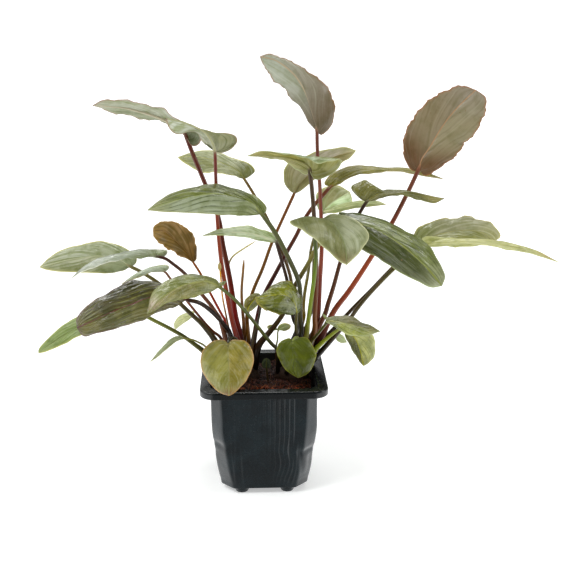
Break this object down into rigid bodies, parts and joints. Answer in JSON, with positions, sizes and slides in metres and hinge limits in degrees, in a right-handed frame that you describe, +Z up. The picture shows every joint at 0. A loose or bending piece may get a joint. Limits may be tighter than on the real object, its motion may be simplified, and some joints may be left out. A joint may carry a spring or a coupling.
{
  "type": "lagenandra plant in pot",
  "caption": "Potted lagenandra, a marsh and aquarium plant with long reddish petioles and green to bronze blades, in a square black nursery pot.",
  "frame": {"origin": "centre of the pot's underside, where it stands", "axes": "+Z up, +X along the pot's front to the right, -Y towards the viewer of the plant's front"},
  "size_m": [0.365, 0.1565, 0.3069],
  "materials": {
    "pot": "semi-gloss black",
    "soil": "matt coir and bark",
    "crown": "matt",
    "leaf_green": "satin",
    "leaf_bronze": "satin",
    "leaf_dark": "glossy",
    "leaf_pale": "satin",
    "petiole": "satin"
  },
  "bodies": {
    "root": {"crown_left": "crown", "crown_right": "crown", "leaf_back_broad": "leaf_green", "leaf_back_grey": "leaf_pale", "leaf_back_pale_small": "leaf_pale", "leaf_back_slender": "leaf_green", "leaf_centre_drooping": "leaf_green", "leaf_centre_glossy": "leaf_green", "leaf_centre_pale": "leaf_pale", "leaf_centre_small": "leaf_green", "leaf_far_left": "leaf_green", "leaf_far_left_low": "leaf_green", "leaf_far_right_long": "leaf_green", "leaf_far_right_wavy": "leaf_pale", "leaf_front_left_heart": "leaf_bronze", "leaf_front_right_heart": "leaf_green", "leaf_inner_left": "leaf_green", "leaf_left_bronze": "leaf_bronze", "leaf_left_dark": "leaf_dark", "leaf_left_glossy": "leaf_green", "leaf_left_pale_small": "leaf_pale", "leaf_left_silver": "leaf_pale", "leaf_long_left": "leaf_green", "leaf_low_left_thin": "leaf_pale", "leaf_low_right_glossy": "leaf_green", "leaf_low_right_hanging": "leaf_green", "leaf_low_right_tiny": "leaf_green", "leaf_right_back": "leaf_green", "leaf_right_bronze": "leaf_bronze", "leaf_right_large": "leaf_green", "leaf_right_small_dark": "leaf_green", "leaf_shadow_small": "leaf_dark", "leaf_thread": "petiole", "leaf_thread_stem": "leaf_green", "leaf_top": "leaf_bronze", "leaf_upper_left": "leaf_pale", "leaf_upper_left_back": "leaf_green", "leaf_upper_left_front": "leaf_green", "pot": "pot", "seedling": "leaf_pale", "shoot_unfurled": "petiole", "soil": "soil"}
  },
  "joints": []
}
